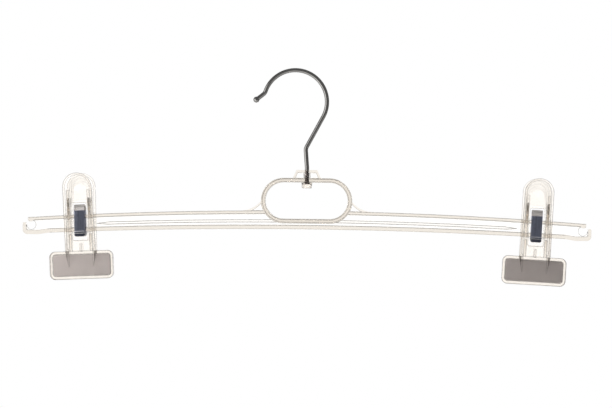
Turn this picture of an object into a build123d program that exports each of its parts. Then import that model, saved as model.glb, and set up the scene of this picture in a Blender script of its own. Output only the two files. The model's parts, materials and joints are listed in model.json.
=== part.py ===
from build123d import *

import os
from math import atan2, asin, cos, degrees, hypot, pi, radians, sin, sqrt, tan

# A clear moulded trouser hanger: an arched bar with a handle loop, a swivelling wire hook and two sliding
# spring clips. Lengths are millimetres. X runs along the bar, -Y faces the viewer and Z is up. The origin is
# the underside of the hook wire straight above the swivel axis, which is the point that sits on a rail.

# Wire hook
wire_d = 3.0
wire_sides = 12  # flats round the wire, few enough to keep its skin light
hook_bend_r = 22.3  # to the middle of the wire
hook_side_set = 8.8  # how far the hook's circle stands to the left of the swivel axis
hook_tip_side_deg = 161.0  # where the round part ends, counted from +X
slant_deg = 28.1  # the run down from the round part, from upright
shank_lean_deg = 4.6  # the short leaning run above the boss
neck_rise = 1.5  # upright wire above the gusset
neck_bend_r = 10.0
lower_bend_r = 5.0
tip_bend_r = 5.0
tip_turn_deg = 33.0
tip_run = 6.0
tip_ball_d = 4.3
head_d = 4.4
head_t = 1.8
head_chamfer = 0.35

# Arched bar
bar_length = 400.0
bar_depth = 8.0
bar_top_z = -95.5  # top of the bar on the swivel axis
bar_height = 13.0  # on the swivel axis
top_arc_r = 2800.0
bottom_arc_r = 3600.0
top_flange_t = 2.3
bottom_flange_t = 2.8
web_t = 1.5
flange_chamfer = 0.45
spine_h = 1.7
spine_proud = 0.7
spine_in = 51.4  # the spine's point, from the end of the bar
spine_point_length = 9.0
spine_height_share = 0.44  # height of the spine in the bar, from its bottom

# Hooked ends of the bar
notch_r = 3.2  # the round cavity in the web
notch_in = 5.8  # its centre, from the end of the bar
notch_z_below_top = 5.4
lip_in = 3.7  # outer face of the lip that hangs from the top flange, from the end of the bar
lip_t = 3.5
lip_drop = 3.1
curl_t = 2.2
curl_gap_below_top = 3.3
curl_corner_r = 3.2
curl_inner_corner_r = 1.4
rounded_share = 0.4  # rounding of the lip's and the curl's tips, of their thickness
flare_drop = 0.8
flare_start = 18.0  # from the end of the bar
flare_run = 7.0

# Handle loop
loop_inner_w = 58.0
loop_inner_h = 25.6
loop_rail_t = 3.1
loop_depth = 10.0
loop_middle_z = -88.4
loop_chamfer = 0.9

# Curved braces between loop and bar
brace_t = 1.5
brace_depth = 6.0
brace_arc_r = 19.0
brace_reach = 46.5  # where a brace meets the bar's top, from the swivel axis
brace_rise = 8.6  # from the bar's top to where a brace meets the loop

# Gusset, boss and cup that carry the hook
gusset_h = 5.7
gusset_top_half_w = 7.2
gusset_base_half_w = 10.0
gusset_top_t = 1.9
gusset_side_t = 1.5
gusset_depth = 7.0
gusset_web_t = 1.8
boss_d = 5.2
cup_top_d = 7.9
cup_low_d = 6.7
cup_h = 4.0
cup_wall_t = 0.85
head_shoulder_rise = 0.7  # shoulder over the wire's head, above the underside of the rail
swivel_clearance = 0.08

# Clips, measured upwards from the bar's top where they sit
left_clip_in = 40.0  # a clip's middle, from the end of the bar
right_clip_in = 38.0  # the photograph shows this clip slid a little further out
clip_slack_share = 0.18  # of the bar's slope, by which a clip's play lets it hang nearer upright
jaw_top_w = 29.4
jaw_top_half_u = 10.1
jaw_low_half_u = 10.8
jaw_plate_t = 1.8
jaw_splay_deg = 12.0
tray_top_w = -25.7
tray_w = 44.7
tray_h = 19.8
tray_corner_r = 4.0
tray_floor_v = 1.85  # from the clip's middle plane
tray_lip_side = 2.0
tray_lip_end = 2.2
tray_lip_h = 1.0
rim_t = 1.5
rim_proud = 1.4
fin_inner_u = 8.4
fin_low_w = -36.8
fin_end_proud = 0.25
stiffener_t = 1.4
stiffener_top_w = -20.6
stiffener_proud = 0.9
window_half_u = 5.5
window_top_w = 8.3
window_low_w = -12.5
window_corner = 0.7
seat_low_w = -18.2
seat_deep = 0.9
thumb_dish_r = 5.6
thumb_dish_deep = 0.5
thumb_dish_w = 19.0
wall_u = 7.2  # middle of the inner walls
wall_t = 1.6
wall_arch_w = 17.5
wall_tab_deep = 2.0
wall_slope_top_w = 12.0
fulcrum_w = 4.0
nose_r = 1.5
nose_neck_v = 1.0
nose_neck_half_w = 1.65
seat_horn_half_w = 2.4
seat_edge_v = 0.35
fulcrum_clearance = 0.08
bar_top_clearance = 0.35
bar_side_clearance = 0.35
bar_low_clearance = 0.6  # under the bar where it is tallest
shelf_v = 0.5
overrun = 0.3  # how far a joined detail reaches into the wall that carries it, and a cut reaches past a face

# Springs
strip_t = 0.5
strip_w = 7.4
bow_r = 4.65  # to the middle of the strip
bow_w = 2.25
spring_gap = 0.1
knee_bend_r = 1.2
spring_toe = 3.0
spring_toe_deg = 20.0
strip_corner = 1.0

# Grip pads
pad_t = 1.6
pad_gap = 0.1  # around and behind a pad
pad_corner_r = 2.0
pad_groove_count = 5
pad_groove_w = 0.7
pad_groove_deep = 0.25

# Worked out from the sizes above
wire_r = wire_d / 2
hook_centre_z = -sqrt((hook_bend_r - wire_r) ** 2 - hook_side_set**2)
loop_outer_top_z = loop_middle_z + loop_inner_h / 2 + loop_rail_t
loop_inner_top_z = loop_outer_top_z - loop_rail_t
gusset_top_z = loop_outer_top_z + gusset_h
shoulder_z = loop_inner_top_z + head_shoulder_rise
bore_r = wire_r + swivel_clearance
head_top_z = shoulder_z - swivel_clearance
top_arc_z = bar_top_z - top_arc_r
bottom_arc_z = bar_top_z - bar_height - bottom_arc_r
half_length = bar_length / 2
clip_places = {"left": left_clip_in - half_length, "right": half_length - right_clip_in}
half_depth = bar_depth / 2
splay = tan(radians(jaw_splay_deg))
plate_skew_t = jaw_plate_t / cos(radians(jaw_splay_deg))


def top_z(x):
    """Height of the bar's top at x."""
    return top_arc_z + sqrt(top_arc_r**2 - x**2)


def bottom_z(x):
    """Height of the bar's underside at x."""
    return bottom_arc_z + sqrt(bottom_arc_r**2 - x**2)


def bar_height_at(x):
    return top_z(x) - bottom_z(x)


def upright(face, depth):
    """A sketch of the front view, made a solid of this depth about the middle plane."""
    return extrude(Plane.XZ * face, amount=depth / 2, both=True)


def side_view(face, width):
    """A sketch of the side view (outwards, up), made a solid of this width about the clip's middle."""
    return extrude(Plane.YZ * face, amount=width / 2, both=True)


def outline(*points):
    return make_face(Polyline(*points, close=True))


def arc_band(radius, centre_z, thickness, half_span):
    """A band of this thickness under a wide arc, out to half_span on both sides."""
    inner = radius - thickness
    ring = Pos(0, centre_z) * (Circle(radius) - Circle(inner))
    low = centre_z + inner * cos(half_span / inner) - thickness
    window = Pos(0, (low + centre_z + radius + thickness) / 2)
    return ring & window * Rectangle(2 * half_span, centre_z + radius + thickness - low)


def stadium(width, height, z):
    return Pos(0, z) * SlotOverall(width, height)


def flat_side_edges(solid):
    """The edges of the two faces that look along Y."""
    faces = solid.faces().sort_by(Axis.Y)
    return faces[0].edges() + faces[-1].edges()


# Wire hook


def hook_path():
    """The wire's middle line as seen from the front, from the head to the tip."""
    lean, slant = radians(shank_lean_deg), radians(slant_deg)
    neck_z = gusset_top_z + neck_rise
    leave_x = -hook_side_set + hook_bend_r * cos(slant)
    leave_z = hook_centre_z - hook_bend_r * sin(slant)
    # The leaning shank meets the slanted run at the lower bend.
    rise = (leave_z - neck_z - leave_x / tan(slant)) / (1 + tan(lean) / tan(slant))
    bend = (-rise * tan(lean), neck_z + rise)
    shank = FilletPolyline(
        (0, head_top_z - head_t / 2),
        (0, neck_z),
        bend,
        (leave_x, leave_z),
        radius=[neck_bend_r, lower_bend_r],
    )
    round_part = CenterArc(
        (-hook_side_set, hook_centre_z), hook_bend_r, -slant_deg, slant_deg + hook_tip_side_deg
    )
    tip_bend = JernArc(round_part @ 1, round_part % 1, tip_bend_r, -tip_turn_deg)
    tip = Line(tip_bend @ 1, tip_bend @ 1 + (tip_bend % 1) * tip_run)
    return Wire([*shank.edges(), *round_part.edges(), *tip_bend.edges(), *tip.edges()])


def make_hook():
    path = hook_path()
    start = Plane(origin=path @ 0, z_dir=path % 0)
    wire = sweep(start * RegularPolygon(wire_r, wire_sides), path=path)
    ball = Plane(origin=path @ 1, z_dir=path % 1) * Sphere(tip_ball_d / 2)
    flat_hook = wire + ball
    head = Pos(0, 0, head_top_z - head_t / 2) * Cylinder(head_d / 2, head_t)
    head = chamfer(head.edges(), head_chamfer)
    return Rot(90, 0, 0) * flat_hook + head


# Arched bar with its loop


def make_web():
    """The thin middle wall, from the lower flange to the upper one, cut short by the round notches."""
    notch_x = half_length - notch_in
    full = arc_band(top_arc_r, top_arc_z, bar_height + flare_drop, notch_x + lip_in / 2)
    above = Pos(0, bottom_arc_z) * (Circle(bottom_arc_r + bar_height * 2) - Circle(bottom_arc_r))
    face = full & above
    for side in (-1, 1):
        notch_z = top_z(notch_x) - notch_z_below_top
        floor_z = bottom_z(half_length - flare_start) - flare_drop
        foot_x = half_length - curl_t / 2
        foot = outline(
            (side * (half_length - flare_start), notch_z),
            (side * (half_length - flare_start), floor_z + bottom_flange_t / 2),
            (side * foot_x, floor_z + bottom_flange_t / 2),
            (side * foot_x, notch_z),
        )
        face = face + foot
        face = face - Pos(side * notch_x, notch_z) * Circle(notch_r)
        mouth = outline(
            (side * notch_x, notch_z),
            (side * half_length, notch_z),
            (side * half_length, notch_z + bar_height),
            (side * (half_length - lip_in), notch_z + bar_height),
            (side * (half_length - lip_in), notch_z),
        )
        face = face - mouth
    return upright(face, web_t)


def make_end_hook(side):
    """The lower flange flares at the bar's end and curls up, and a short lip hangs from the upper one."""
    end = side * half_length
    start = side * (half_length - flare_start)
    low = side * (half_length - flare_start + flare_run)
    start_z = bottom_z(start)
    low_z = bottom_z(low) - flare_drop
    tip_z = top_z(end) - curl_gap_below_top
    inner = side * (half_length - curl_t)
    outer_face = outline((start, start_z), (low, low_z), (end, low_z), (end, tip_z), (start, tip_z))
    inner_face = outline(
        (start, start_z + bottom_flange_t),
        (low, low_z + bottom_flange_t),
        (inner, low_z + bottom_flange_t),
        (inner, tip_z + overrun),
        (start, tip_z + overrun),
    )
    outer_corner = outer_face.vertices().sort_by_distance((end, low_z))[0]
    inner_corner = inner_face.vertices().sort_by_distance((inner, low_z + bottom_flange_t))[0]
    outer_face = fillet(outer_corner, curl_corner_r)
    inner_face = fillet(inner_corner, curl_inner_corner_r)
    curl = outer_face - inner_face
    curl_tips = curl.vertices().sort_by_distance((end, tip_z))[:2]
    curl = upright(fillet(curl_tips, curl_t * rounded_share), bar_depth)
    lip_x = side * (half_length - lip_in - lip_t / 2)
    lip_top = top_z(lip_x) - top_flange_t / 2
    lip_low = top_z(lip_x) - lip_drop
    lip = upright(Pos(lip_x, (lip_top + lip_low) / 2) * Rectangle(lip_t, lip_top - lip_low), bar_depth)
    low_face = lip.faces().sort_by(Axis.Z)[0]
    lip = fillet(low_face.edges().filter_by(Axis.Y), lip_t * rounded_share)
    return curl + lip


def make_flanges():
    """The two wide bands along the bar, with softened long edges."""
    top = upright(arc_band(top_arc_r, top_arc_z, top_flange_t, half_length - lip_in), bar_depth)
    low = upright(
        arc_band(
            bottom_arc_r + bottom_flange_t, bottom_arc_z, bottom_flange_t, half_length - flare_start
        ),
        bar_depth,
    )
    long_edge = bar_length / 2
    top = chamfer(top.edges().filter_by(lambda edge: edge.length > long_edge), flange_chamfer)
    low = chamfer(low.edges().filter_by(lambda edge: edge.length > long_edge), flange_chamfer)
    return top + low


def make_spine():
    """A low rib along both sides of the web that carries on from the loop and ends in a point."""
    reach = half_length - spine_in
    shoulder = reach - spine_point_length

    def middle(x):
        return bottom_z(x) + bar_height_at(x) * spine_height_share

    spine_arc_r = (shoulder**2 + (middle(0) - middle(shoulder)) ** 2) / (2 * (middle(0) - middle(shoulder)))
    band = arc_band(
        spine_arc_r + spine_h / 2, middle(0) - spine_arc_r, spine_h, shoulder
    )
    for side in (-1, 1):
        z = middle(shoulder)
        band = band + outline(
            (side * shoulder, z - spine_h / 2),
            (side * reach, middle(reach)),
            (side * shoulder, z + spine_h / 2),
        )
    return upright(band, web_t + 2 * spine_proud)


def make_loop():
    outer = stadium(loop_inner_w + 2 * loop_rail_t, loop_inner_h + 2 * loop_rail_t, loop_middle_z)
    ring = upright(outer - stadium(loop_inner_w, loop_inner_h, loop_middle_z), loop_depth)
    return chamfer(flat_side_edges(ring), loop_chamfer)


def make_brace(side):
    """A concave rib from the loop's flank down to the bar, with a thin web under it."""
    foot = (side * brace_reach, top_z(brace_reach))
    head_x = loop_inner_w / 2 + loop_rail_t / 2
    head = (side * head_x, top_z(0) + brace_rise)
    below = (foot[0], foot[1] - top_flange_t / 2)
    inside = (head[0], foot[1] - top_flange_t / 2)
    curve = RadiusArc(head, foot, -side * brace_arc_r)
    face = make_face([*curve.edges(), *Polyline(foot, below, inside, head).edges()])
    lower_curve = Pos(0, -brace_t) * curve
    low_foot = (foot[0], foot[1] - brace_t)
    low_head = (head[0], head[1] - brace_t)
    rib_face = make_face(
        [*curve.edges(), *Line(foot, low_foot).edges(), *lower_curve.edges(), *Line(low_head, head).edges()]
    )
    rib = upright(rib_face, brace_depth)
    return rib + upright(face, web_t)


def make_gusset():
    """The small frame on the loop that the wire goes down through."""
    base_z = loop_outer_top_z - overrun
    frame = outline(
        (-gusset_base_half_w, base_z),
        (gusset_base_half_w, base_z),
        (gusset_top_half_w, gusset_top_z),
        (-gusset_top_half_w, gusset_top_z),
    )
    lean = (gusset_base_half_w - gusset_top_half_w) / gusset_h
    inner_top = gusset_top_z - gusset_top_t
    inner_top_half_w = gusset_top_half_w + lean * gusset_top_t - gusset_side_t
    inner_base_half_w = gusset_base_half_w - gusset_side_t
    hole = outline(
        (-inner_base_half_w, base_z - overrun),
        (inner_base_half_w, base_z - overrun),
        (inner_top_half_w, inner_top),
        (-inner_top_half_w, inner_top),
    )
    return upright(frame - hole, gusset_depth) + upright(frame, gusset_web_t)


def make_boss():
    boss_h = gusset_top_z - loop_inner_top_z
    boss = Pos(0, 0, gusset_top_z - boss_h / 2) * Cylinder(boss_d / 2, boss_h)
    cup_top = loop_inner_top_z + overrun
    cup_run = cup_h + overrun
    cup = Pos(0, 0, cup_top - cup_run / 2) * Cone(cup_low_d / 2, cup_top_d / 2, cup_run)
    return boss + cup


def make_wire_bore():
    """The running fit for the wire and the wider space below it for the wire's head."""
    bore_h = gusset_top_z - shoulder_z + overrun
    bore = Pos(0, 0, shoulder_z + bore_h / 2) * Cylinder(bore_r, bore_h)
    cup_low_z = loop_inner_top_z - cup_h
    space_h = shoulder_z - cup_low_z + overrun
    space = Pos(0, 0, shoulder_z - space_h / 2) * Cylinder(cup_low_d / 2 - cup_wall_t, space_h)
    return bore + space


def make_hanger_bar():
    beam = make_web() + make_flanges() + make_spine()
    for side in (-1, 1):
        beam = beam + make_end_hook(side)
        beam = beam + make_brace(side)
    rail_middle = stadium(loop_inner_w + loop_rail_t, loop_inner_h + loop_rail_t, loop_middle_z)
    beam = beam - upright(rail_middle, loop_depth)
    beam = beam + make_loop() + make_gusset() + make_boss()
    return beam - make_wire_bore()


# Clips. A clip is made standing on the middle of the bar's top, u along the bar, v away from the middle plane
# and w upwards, and is then swung out along the bar's arc. A jaw is made as the rear one, with +Y outwards.


def plate_v(w):
    """Inner face of a jaw's plate at height w."""
    return tray_floor_v + max(w - tray_top_w, 0) * splay


def plate_outer_v(w):
    return plate_v(w) + plate_skew_t


def body_outline(inset=0.0):
    """The jaw's long body from the front: a round-topped strip that narrows a little downwards."""
    top_half, low_half = jaw_top_half_u - inset, jaw_low_half_u - inset
    arch_w = jaw_top_w - jaw_top_half_u
    low_w = tray_top_w - overrun - inset
    strip = outline((-low_half, low_w), (low_half, low_w), (top_half, arch_w), (-top_half, arch_w))
    return strip + Pos(0, arch_w) * Circle(top_half)


def tray_outline():
    return Pos(0, tray_top_w - tray_h / 2) * RectangleRounded(tray_w, tray_h, tray_corner_r)


def plate_profile(added=0.0):
    """Side view of the jaw's plate: upright at the tray, splayed above it. Added thickness goes outwards."""
    low_w = tray_top_w - tray_h
    thick = jaw_plate_t + added
    kink_w = tray_top_w - thick * tan(radians(jaw_splay_deg / 2))
    skew = thick / cos(radians(jaw_splay_deg))
    return outline(
        (tray_floor_v, low_w),
        (tray_floor_v, tray_top_w),
        (plate_v(jaw_top_w), jaw_top_w),
        (plate_v(jaw_top_w) + skew, jaw_top_w),
        (tray_floor_v + thick, kink_w),
        (tray_floor_v + thick, low_w),
    )


def make_rim():
    """The raised rim round the body, which runs out over the tray as two fins."""
    side_profile = plate_profile(rim_proud) - outline(
        (tray_floor_v + jaw_plate_t + rim_proud, tray_top_w),
        (tray_floor_v + jaw_plate_t + fin_end_proud, fin_low_w),
        (tray_floor_v + jaw_plate_t + fin_end_proud, fin_low_w - tray_h),
        (tray_floor_v + jaw_plate_t + 2 * rim_proud, fin_low_w - tray_h),
        (tray_floor_v + jaw_plate_t + 2 * rim_proud, tray_top_w),
    )
    inside = body_outline(rim_t) + Pos(0, tray_top_w) * Rectangle(
        2 * (jaw_low_half_u - rim_t), 2 * rim_t
    )
    front = body_outline() - inside
    for side in (-1, 1):
        front = front + outline(
            (side * jaw_low_half_u, tray_top_w + rim_t),
            (side * fin_inner_u, tray_top_w + rim_t),
            (side * fin_inner_u, fin_low_w),
            (side * (fin_inner_u + fin_end_proud), fin_low_w),
            (side * jaw_low_half_u, tray_top_w),
        )
    return side_view(side_profile, tray_w) & upright(front, 4 * plate_outer_v(jaw_top_w))


def make_inner_walls(with_nose):
    """Two inner walls under the plate, notched for the bar, with the fulcrum on their edge."""
    low_w = -(bar_height + bar_low_clearance)
    side_v = half_depth + bar_side_clearance
    edge_v = nose_neck_v if with_nose else seat_edge_v
    edge_half = nose_neck_half_w if with_nose else seat_horn_half_w
    root = jaw_plate_t / 2
    profile = outline(
        (plate_v(wall_arch_w) + root, wall_arch_w),
        (plate_v(wall_arch_w) - wall_tab_deep, wall_arch_w),
        (plate_v(wall_slope_top_w) - wall_tab_deep, wall_slope_top_w),
        (edge_v, fulcrum_w + edge_half),
        (edge_v, fulcrum_w - edge_half),
        (nose_neck_v, bar_top_clearance + jaw_plate_t / 2),
        (nose_neck_v, bar_top_clearance),
        (side_v, bar_top_clearance),
        (side_v, low_w),
        (shelf_v, low_w),
        (shelf_v, tray_top_w),
        (tray_floor_v + root, tray_top_w),
    )
    if with_nose:
        profile = profile + Pos(0, fulcrum_w) * Circle(nose_r)
    else:
        profile = profile - Pos(0, fulcrum_w) * Circle(nose_r + fulcrum_clearance)
    wall = side_view(profile, wall_t)
    return Pos(-wall_u, 0, 0) * wall + Pos(wall_u, 0, 0) * wall


def make_wall_arch():
    """The arch that joins the rear jaw's inner walls under its tab."""
    ring = Pos(0, wall_arch_w) * (Circle(wall_u + wall_t / 2) - Circle(wall_u - wall_t / 2))
    face = ring & Pos(0, wall_arch_w + jaw_top_w / 2) * Rectangle(jaw_top_w * 2, jaw_top_w)
    root = jaw_plate_t / 2
    profile = outline(
        (plate_v(wall_arch_w) - wall_tab_deep, wall_arch_w),
        (plate_v(jaw_top_w) - wall_tab_deep, jaw_top_w),
        (plate_v(jaw_top_w) + root, jaw_top_w),
        (plate_v(wall_arch_w) + root, wall_arch_w),
    )
    return upright(face, 4 * plate_v(jaw_top_w)) & side_view(profile, tray_w)


def make_tray_lip():
    """The low wall round the tray that a grip pad sits in."""
    lip = tray_outline() - Pos(0, tray_top_w - tray_h / 2) * RectangleRounded(
        tray_w - 2 * tray_lip_side, tray_h - 2 * tray_lip_end, pad_corner_r + pad_gap
    )
    band = upright(lip, 2 * tray_floor_v + jaw_plate_t)
    depth = tray_lip_h + jaw_plate_t / 2
    keep = Pos(0, tray_floor_v - tray_lip_h + depth / 2, tray_top_w - tray_h / 2) * Box(
        tray_w, depth, tray_h
    )
    return band & keep


def window_outline(low_w):
    frame = Rectangle(2 * window_half_u, window_top_w - low_w)
    return Pos(0, (window_top_w + low_w) / 2) * chamfer(frame.vertices(), window_corner)


def make_window_cut():
    """The window through the plate and the shallow seat below it that the spring's toe rests in."""
    deep = 4 * plate_outer_v(jaw_top_w)
    through = upright(window_outline(window_low_w), deep)
    seat_skew = seat_deep / cos(radians(jaw_splay_deg))
    outside = outline(
        (plate_outer_v(seat_low_w) - seat_skew, seat_low_w),
        (plate_outer_v(window_top_w) - seat_skew, window_top_w),
        (plate_outer_v(window_top_w) + deep, window_top_w),
        (plate_outer_v(seat_low_w) + deep, seat_low_w),
    )
    seat = upright(window_outline(seat_low_w), 2 * deep) & side_view(outside, tray_w)
    return through + seat


def make_thumb_dish():
    """A shallow round hollow for the thumb, square to the splayed tab."""
    ball_r = (thumb_dish_r**2 + thumb_dish_deep**2) / (2 * thumb_dish_deep)
    reach = ball_r - thumb_dish_deep
    lean = radians(jaw_splay_deg)
    centre_v = plate_outer_v(thumb_dish_w) + reach * cos(lean)
    return Pos(0, centre_v, thumb_dish_w - reach * sin(lean)) * Sphere(ball_r)


def make_stiffener():
    """The short rib in the middle of the plate, just above the tray."""
    length = stiffener_top_w - tray_top_w + overrun
    front = Pos(0, stiffener_top_w - length / 2) * Rectangle(stiffener_t, length)
    return upright(front, 4 * tray_w) & side_view(plate_profile(stiffener_proud), tray_w)


def make_jaw(with_nose):
    """One lever of a clip, as the rear one. The nose is on the rear jaw and its seat on the front jaw."""
    front = upright(body_outline() + tray_outline(), 4 * plate_outer_v(jaw_top_w))
    plate = side_view(plate_profile(), tray_w) & front
    plate = plate - make_thumb_dish()
    jaw = plate + make_rim() + make_stiffener() + make_tray_lip()
    jaw = jaw - make_window_cut() + make_inner_walls(with_nose)
    return jaw + make_wall_arch() if with_nose else jaw


def make_pad():
    """A flat grip pad with shallow grooves across its gripping face."""
    face = Pos(0, tray_top_w - tray_h / 2) * RectangleRounded(
        tray_w - 2 * tray_lip_side - 2 * pad_gap,
        tray_h - 2 * tray_lip_end - 2 * pad_gap,
        pad_corner_r,
    )
    outer_v = tray_floor_v - pad_gap
    slab = Pos(0, outer_v - pad_t / 2, 0) * upright(face, pad_t)
    pad_h = tray_h - 2 * tray_lip_end - 2 * pad_gap
    pitch = pad_h / (pad_groove_count + 1)
    top_w = tray_top_w - tray_lip_end - pad_gap
    inner_v = outer_v - pad_t
    for number in range(1, pad_groove_count + 1):
        groove = Pos(0, inner_v, top_w - number * pitch) * Box(tray_w, 2 * pad_groove_deep, pad_groove_w)
        slab = slab - groove
    return slab


def make_spring():
    """A bent steel strip over the bar. Its two legs spread to knees that press on the jaws' seats."""
    seat_skew = seat_deep / cos(radians(jaw_splay_deg))
    knee_v = plate_outer_v(window_low_w) - seat_skew + spring_gap + strip_t / 2
    drop = bow_w - window_low_w
    reach = hypot(knee_v, drop)
    spread = atan2(knee_v, drop) - asin(bow_r / reach)
    toe = radians(spring_toe_deg)
    leave = (bow_r * cos(spread), bow_w + bow_r * sin(spread))
    knee = (knee_v, window_low_w)
    end = (knee_v + spring_toe * sin(toe), window_low_w - spring_toe * cos(toe))
    right_leg = FilletPolyline(end, knee, leave, radius=knee_bend_r)
    bow = CenterArc((0, bow_w), bow_r, degrees(spread), degrees(pi - 2 * spread))
    left_leg = mirror(right_leg, about=Plane.YZ)
    path = Plane.YZ * Wire([*right_leg.edges(), *bow.edges(), *left_leg.edges()])
    start = Plane(origin=path @ 0, x_dir=(1, 0, 0), z_dir=path % 0)
    strip = sweep(start * Rectangle(strip_w, strip_t), path=path)
    height = bow_w + bow_r + strip_t - end[1] + strip_t / 2
    middle_w = end[1] - strip_t / 2 + height / 2
    blank = chamfer(Rectangle(strip_w, height).vertices(), strip_corner)
    return strip & upright(Pos(0, middle_w) * blank, 4 * knee_v)


def clip_swing(side):
    """Swings a clip out to its place along the bar's top arc and lets it hang there."""
    angle = degrees(clip_places[side] / top_arc_r)
    out = Pos(0, 0, top_arc_z) * Rot(0, angle, 0) * Pos(0, 0, top_arc_r)
    return out * Rot(0, -clip_slack_share * angle, 0)


def make_clip_pieces():
    rear_pad = make_pad()
    return {
        "spring": make_spring(),
        "front_jaw": mirror(make_jaw(with_nose=False), about=Plane.XZ),
        "rear_jaw": make_jaw(with_nose=True),
        "front_pad": mirror(rear_pad, about=Plane.XZ),
        "rear_pad": rear_pad,
    }


# Every piece, at its place

pieces = {"hook": make_hook(), "hanger_bar": make_hanger_bar()}
for name, piece in make_clip_pieces().items():
    for side in clip_places:
        pieces[side + "_" + name] = clip_swing(side) * piece

os.makedirs("parts", exist_ok=True)
for name, piece in pieces.items():
    export_step(piece, "parts/" + name + ".step")
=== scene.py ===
import json
from math import asin, atan2, cos, hypot, pi, radians, sin, sqrt, tan

import bpy
import numpy as np
from bpy.props import FloatProperty, FloatVectorProperty, IntProperty, PointerProperty
from bpy.types import Operator, Panel, PropertyGroup
from mathutils import Matrix, Vector


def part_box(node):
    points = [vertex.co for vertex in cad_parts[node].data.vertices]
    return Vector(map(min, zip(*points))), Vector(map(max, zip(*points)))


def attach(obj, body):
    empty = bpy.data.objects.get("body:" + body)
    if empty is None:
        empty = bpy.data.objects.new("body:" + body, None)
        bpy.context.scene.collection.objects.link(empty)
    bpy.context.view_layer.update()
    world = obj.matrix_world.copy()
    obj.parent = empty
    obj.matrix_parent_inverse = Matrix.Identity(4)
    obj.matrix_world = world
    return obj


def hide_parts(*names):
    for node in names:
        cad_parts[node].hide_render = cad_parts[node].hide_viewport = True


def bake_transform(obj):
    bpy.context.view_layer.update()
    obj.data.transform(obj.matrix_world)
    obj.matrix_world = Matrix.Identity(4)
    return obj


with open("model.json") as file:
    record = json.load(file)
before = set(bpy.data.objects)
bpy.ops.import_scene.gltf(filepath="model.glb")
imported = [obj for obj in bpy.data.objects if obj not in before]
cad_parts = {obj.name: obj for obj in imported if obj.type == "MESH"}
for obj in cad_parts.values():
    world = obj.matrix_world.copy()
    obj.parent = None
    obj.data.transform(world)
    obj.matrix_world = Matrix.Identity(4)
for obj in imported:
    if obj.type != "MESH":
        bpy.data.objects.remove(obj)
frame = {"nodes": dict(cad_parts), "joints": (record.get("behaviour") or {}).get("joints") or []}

bl_info = {
    "name": "Trouser hanger",
    "version": (1, 0, 0),
    "blender": (4, 5, 0),
    "location": "3D View > Sidebar > Hanger",
    "description": "Dresses a clear moulded trouser hanger: plastic, wire, springs and grip pads",
    "category": "Object",
}

MM = 0.001
SIDES = ("left", "right")
FACINGS = {"front": -1, "rear": 1}  # on which side of the middle plane each lies, along OUT
OUT = np.array((0.0, 1.0, 0.0))  # square to the middle plane, away from the viewer
PIVOT_HEIGHT = 4.0 * MM  # of the line that a clip's jaws turn about, over the bar's top


# Settings that a user would change


def a_length(name, description, default):
    """A size in metres."""
    return FloatProperty(
        name=name, description=description, default=default,
        unit="LENGTH", subtype="DISTANCE", precision=5,
    )


def an_angle(name, description, default):
    """An angle in radians."""
    return FloatProperty(
        name=name, description=description, default=default, unit="ROTATION", subtype="ANGLE"
    )


def a_share(name, description, default):
    """A share from 0 to 1."""
    return FloatProperty(
        name=name, description=description, default=default, subtype="FACTOR", min=0, max=1
    )


def a_number(name, description, default, unit="NONE"):
    """A plain number, or one in this unit."""
    return FloatProperty(name=name, description=description, default=default, unit=unit)


def a_count(name, description, default):
    """A whole number."""
    return IntProperty(name=name, description=description, default=default)


def a_colour(name, description, default):
    """A colour in linear light."""
    return FloatVectorProperty(
        name=name, description=description, default=default, size=3, subtype="COLOR", min=0, max=1
    )


def a_vector(name, description, default, subtype, unit="NONE"):
    """A place or a direction."""
    return FloatVectorProperty(
        name=name, description=description, default=default, size=3, subtype=subtype, unit=unit
    )


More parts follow.
